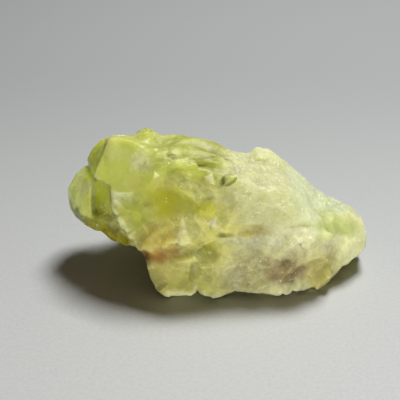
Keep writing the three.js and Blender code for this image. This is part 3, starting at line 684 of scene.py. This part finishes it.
class StoneFinish:
    """The stone's shader tree, with a method for each layer: most take a colour and return a new one."""

    def __init__(self, tree):
        self.tree = tree
        self.region, self.grains, self.planes = patch_group(), grain_group(), plane_group()
        self.place = add(tree, "ShaderNodeTexCoord").outputs
        self.position = vectors(tree, "SCALE", self.place["Object"], scale=1 / MM)
        self.wandering = self.steady = self.position
        for size, sway in SWAYS:
            cloud = clouded(tree, self.position, size, detail=2.0).outputs["Color"]
            drift = vectors(tree, "SUBTRACT", cloud, CENTRED)
            moved = vectors(tree, "SCALE", drift, scale=sway)
            self.wandering = vectors(tree, "ADD", self.wandering, moved)
            moved = vectors(tree, "SCALE", drift, scale=STRAIGHT_SWAY * sway)
            self.steady = vectors(tree, "ADD", self.steady, moved)
        self.masks = {}

    def cloud(self, size, **settings):
        """Cloudy noise over the stone, in lumps of this size."""
        return clouded(self.tree, self.position, size, **settings).outputs[0]

    def region_mask(self, patch, straight):
        made = add(self.tree, "ShaderNodeGroup", {
            "Centre": placed(patch.at),
            "Reach": patch.reach,
            "Turn": (0, math.radians(patch.tilt), 0),
            "Edge": patch.edge,
            "Strength": patch.strength,
            "Cornered": patch.cornered,
            "Position": self.steady if straight else self.wandering,
        }, node_tree=self.region)
        if patch.facing:
            made.inputs["Facing"].default_value = Vector(patch.facing).normalized()
            made.inputs["Facing From"].default_value = math.cos(math.radians(patch.spread + FACING_RIM))
            made.inputs["Facing To"].default_value = math.cos(math.radians(patch.spread))
            self.tree.links.new(self.place["Normal"], made.inputs["Normal"])
        return made.outputs[0]

    def either(self, names):
        """Mask of several regions together."""
        mask = self.masks[names[0]]
        for name in names[1:]:
            mask = larger(self.tree, mask, self.masks[name])
        return mask

    def painted(self, name):
        """A value that the shape's making has painted on the mesh."""
        return add(self.tree, "ShaderNodeAttribute", attribute_name=name).outputs["Fac"]

    def paint_regions(self):
        """A gem green that each region tints in turn. Also keeps the masks that the other layers need."""
        tree, masks = self.tree, self.masks
        self.broad_cloud = self.cloud(3.0, detail=4.0)
        amount = ramp(tree, self.broad_cloud, 0.35, 0.65)
        colour = tint(tree, linear(SHADES["gem_pale"]), amount, "gem_deep")
        for name, patch in PATCHES.items():
            masks[name] = self.region_mask(patch, name in STRAIGHT)
            colour = blend_colours(tree, masks[name], colour, linear(patch.shade))
        self.sugar, self.crumb, self.sparkling = map(self.painted, ("sugary", "crumbly", "sparkling"))
        cloudy = larger(tree, self.sugar, masks["matrix"])
        cloudy = larger(tree, cloudy, times(tree, self.either(MILKY), MILKINESS))
        masks["glassy"] = maths(tree, "SUBTRACT", 1.0, cloudy, clamp=True)
        self.patchy = ramp(tree, self.cloud(3.0, detail=2.0), 0.42, 0.6)
        return colour

    def vary_tone(self, colour):
        """Adds the tones of inner planes, broken faces and mottling, and draws the planes' lines."""
        tree = self.tree
        gain, lines = 1.0, 0.0
        for region, contrast, brightness, turn, reach in INNER_PLANES:
            made = add(tree, "ShaderNodeGroup", {
                "Turn": [math.radians(angle) for angle in turn],
                "Reach": reach,
                "Position": self.position,
            }, node_tree=self.planes).outputs
            tone, mask = maths(tree, "SUBTRACT", made["Tone"], 0.5), self.masks[region]
            gain = maths(tree, "ADD", gain, times(tree, tone, times(tree, mask, 2 * contrast)))
            line = times(tree, times(tree, made["Line"], self.patchy), times(tree, mask, brightness))
            lines = larger(tree, lines, line)
        for size, in_crystal, from_sugar, from_crumbs in MOTTLING:
            amount = maths(tree, "MULTIPLY_ADD", self.sugar, from_sugar, in_crystal)
            amount = maths(tree, "MULTIPLY_ADD", self.crumb, from_crumbs, amount)
            mottle = maths(tree, "SUBTRACT", self.cloud(size, roughness=0.6), 0.5)
            gain = maths(tree, "MULTIPLY_ADD", mottle, amount, gain)
        gain = maths(tree, "MULTIPLY_ADD", self.painted("facet_tone"), FACET_TONE, gain)
        even = times(tree, self.either(EVEN), EVENNESS)
        change = maths(tree, "SUBTRACT", gain, 1.0)
        gain = maths(tree, "MULTIPLY_ADD", change, maths(tree, "SUBTRACT", 1.0, even), 1.0)
        gain = maths(tree, "MINIMUM", larger(tree, gain, TONE_LIMITS[0]), TONE_LIMITS[1])
        grey = add(tree, "ShaderNodeCombineXYZ", {0: gain, 1: gain, 2: gain}).outputs[0]
        return tint(tree, vectors(tree, "MULTIPLY", colour, grey), lines, "plane_line")

    def sugar_over(self, colour):
        """Cream and green lumps in the sugar, then rare painted glints and dark specks, then crushed crumbs
        with painted glints.
        """
        tree, position = self.tree, self.position
        cream = ramp(tree, self.cloud(1.8, detail=2.0), 0.48, 0.66, high_value=0.2)
        green = ramp(tree, self.cloud(2.6), 0.52, 0.36, high_value=0.14)
        colour = tint(tree, colour, times(tree, cream, self.sugar), "cream_sugar")
        colour = tint(tree, colour, times(tree, green, self.masks["dome"]), "green_sugar")

        settings = {"Position": position, "Fineness": 2.3, "Rareness": 0.94}
        grain = add(tree, "ShaderNodeGroup", settings, node_tree=self.grains).outputs
        self.grain_height = grain["Height"]
        shown = maths(tree, "MULTIPLY_ADD", self.sugar, 0.5, self.patchy, clamp=True)
        # painted glints: pale dots in rare sugar grains
        glint_dot = times(tree, grain["Light Dot"], shown)
        colour = tint(tree, colour, times(tree, glint_dot, 0.9), "glint_dot")
        speck = times(tree, grain["Dark Dot"], maths(tree, "MULTIPLY_ADD", self.crumb, 0.6, 0.4))
        colour = tint(tree, colour, times(tree, speck, 0.55), "speck")

        settings = {"Position": position, "Fineness": 2.7, "Rareness": 0.76}
        crumbs = add(tree, "ShaderNodeGroup", settings, node_tree=self.grains).outputs
        # painted glints: pale dots on the crushed crumbs
        pale = times(tree, crumbs["Light Dot"], self.sparkling)
        colour = tint(tree, colour, times(tree, pale, 0.9), "crumb_glint")
        olive = times(tree, crumbs["Dark Dot"], self.sparkling)
        colour = tint(tree, colour, times(tree, olive, 0.3), "crumb_olive")
        self.glint_dot = larger(tree, glint_dot, pale)
        return colour

    def shade_edges_and_creases(self, colour):
        """Pale edges, painted as a little worn and as catching the light, and creases darkened with painted
        shade.
        """
        tree = self.tree
        pointed = add(tree, "ShaderNodeNewGeometry").outputs["Pointiness"]
        # painted highlight and wear: sharp outer edges turn pale
        colour = tint(tree, colour, ramp(tree, pointed, 0.52, 0.6, high_value=0.35), "worn_and_lit_edge")
        # painted shade: narrow creases turn darker
        return tint(tree, colour, ramp(tree, pointed, 0.47, 0.38, high_value=0.14), "crease_shade")

    def roughness(self):
        """Glassy where the crystal is clean, duller on sugar and plates, shiny on the painted glint dots.
        """
        tree = self.tree
        dull = larger(tree, self.sugar, self.masks["plates"])
        clean = ramp(tree, self.broad_cloud, 0.3, 0.7, low_value=0.2, high_value=0.36)
        rough = maths(tree, "ADD", clean, times(tree, dull, 0.22))
        return maths(tree, "SUBTRACT", rough, times(tree, self.glint_dot, 0.25), clamp=True)

    def relief(self):
        """The normal of facets and fine unevenness too small for the mesh."""
        tree = self.tree
        fine = self.cloud(0.35, detail=4.0, roughness=0.65)
        height = times(tree, self.grain_height, maths(tree, "ADD", 0.15, self.sugar))
        height = maths(tree, "ADD", height, times(tree, fine, 0.2))
        settings = {"Height": height, "Strength": 0.5, "Distance": 0.2 * MM}
        return add(tree, "ShaderNodeBump", settings).outputs[0]


def stone_material():
    """Yellow-green translucent crystal that turns to cream sugar, with its stains and streaks, painted
    glints, and painted highlight and shade on edges and creases.
    """
    material = bpy.data.materials.new("brazilianite")
    material.use_nodes = True
    tree = material.node_tree
    tree.nodes.clear()
    finish = StoneFinish(tree)
    colour = finish.shade_edges_and_creases(finish.sugar_over(finish.vary_tone(finish.paint_regions())))
    surface = add(tree, "ShaderNodeBsdfPrincipled", {
        "Base Color": colour,
        "Roughness": finish.roughness(),
        "IOR": 1.6,
        "Specular IOR Level": 0.35,
        "Normal": finish.relief(),
        "Subsurface Weight": 1.0,
        "Subsurface Radius": (1.0, 0.95, 0.5),
        "Subsurface Scale": 5.0 * MM,
    })
    add(tree, "ShaderNodeOutputMaterial", {"Surface": surface.outputs[0]})
    return material


def table_material():
    """Plain pale paper with a faint grain, and painted shade that makes it a little darker towards the
    back.
    """
    material = bpy.data.materials.new("table_top")
    material.use_nodes = True
    tree = material.node_tree
    surface = tree.nodes["Principled BSDF"]
    position = vectors(tree, "SCALE", add(tree, "ShaderNodeTexCoord").outputs["Object"], scale=1 / MM)
    fleck = ramp(tree, clouded(tree, position, 0.6, roughness=0.7).outputs[0], 0.3, 0.7)
    colour = tint(tree, linear(SHADES["paper"]), fleck, "paper_fleck")
    # painted shade: the paper turns a little darker towards the back
    towards_back = ramp(tree, parts_of(tree, position)[1], -60.0, 90.0)
    tree.links.new(tint(tree, colour, towards_back, "paper_far_shade"), surface.inputs["Base Color"])
    surface.inputs["Roughness"].default_value = 0.6
    surface.inputs["Specular IOR Level"].default_value = 0.3
    return material


# ---------------------------------------------------------------- the stage

TABLE_REACH = 40  # half the table's side, in lengths of the stone
VIEW_DISTANCE = 3.135  # from the camera to what it looks at, in lengths of the stone
VIEW_CENTRE = (0.443, 0.512, 0.5)  # what it looks at, as shares of the stone's box
VIEW_ELEVATION = 30  # degrees
LENS = 85  # mm
DAYLIGHT = (1.0, 0.76, 0.62, 1)
DAYLIGHT_STRENGTH = 0.08


def make_table():
    shape = bmesh.new()
    bmesh.ops.create_grid(shape, x_segments=1, y_segments=1, size=TABLE_REACH * length * MM)
    mesh = bpy.data.meshes.new("table_top")
    shape.to_mesh(mesh)
    shape.free()
    table = bpy.data.objects.new("table_top", mesh)
    bpy.context.scene.collection.objects.link(table)
    mesh.materials.append(table_material())


def make_lamp(name, towards, distance, size, power, glossy=True):
    """A square soft lamp, aimed at the stone's middle: its direction, then millimetres and watts."""
    light = bpy.data.lights.new(name, "AREA")
    light.size = size * MM
    light.energy = power
    lamp = bpy.data.objects.new(name, light)
    way = Vector(towards).normalized()
    lamp.location = Vector(placed((0.5, 0.5, 0.5))) * MM + way * distance * MM
    lamp.rotation_euler = (-way).to_track_quat("-Z", "Y").to_euler()
    lamp.visible_glossy = glossy
    bpy.context.scene.collection.objects.link(lamp)
    return lamp


def make_camera():
    """Level with the length, looking down at the stone from its glassy side."""
    elevation = math.radians(VIEW_ELEVATION)
    target = Vector(placed(VIEW_CENTRE)) * MM
    back = Vector((0, -math.cos(elevation), math.sin(elevation)))
    lens = bpy.data.cameras.new("camera")
    lens.lens = LENS
    lens.clip_start = MM
    camera = bpy.data.objects.new("camera", lens)
    camera.location = target + back * VIEW_DISTANCE * length * MM
    camera.rotation_euler = (-back).to_track_quat("-Z", "Y").to_euler()
    bpy.context.scene.collection.objects.link(camera)
    bpy.context.scene.camera = camera


def make_daylight():
    world = bpy.data.worlds.new("daylight")
    world.use_nodes = True
    background = world.node_tree.nodes["Background"]
    background.inputs["Color"].default_value = DAYLIGHT
    background.inputs["Strength"].default_value = DAYLIGHT_STRENGTH
    bpy.context.scene.world = world


make_camera()
make_daylight()
make_lamp("overhead", (0.25, 0.38, 1.0), distance=360, size=115, power=1.4)
fill = make_lamp("front_fill", (0.1, -1.0, 0.1), distance=320, size=100, power=0.82, glossy=False)
make_table()
bpy.context.scene.view_settings.view_transform = "Standard"

stone = shape_stone(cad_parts[NODE])
stone.name = "brazilianite_cluster"
flag = bpy.data.collections.new("lit_by_front_fill")  # on the table, the fill would thin the shadow
flag.objects.link(stone)
fill.light_linking.receiver_collection = flag
stone.data.materials.clear()
stone.data.materials.append(stone_material())
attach(stone, "root")
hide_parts(NODE)
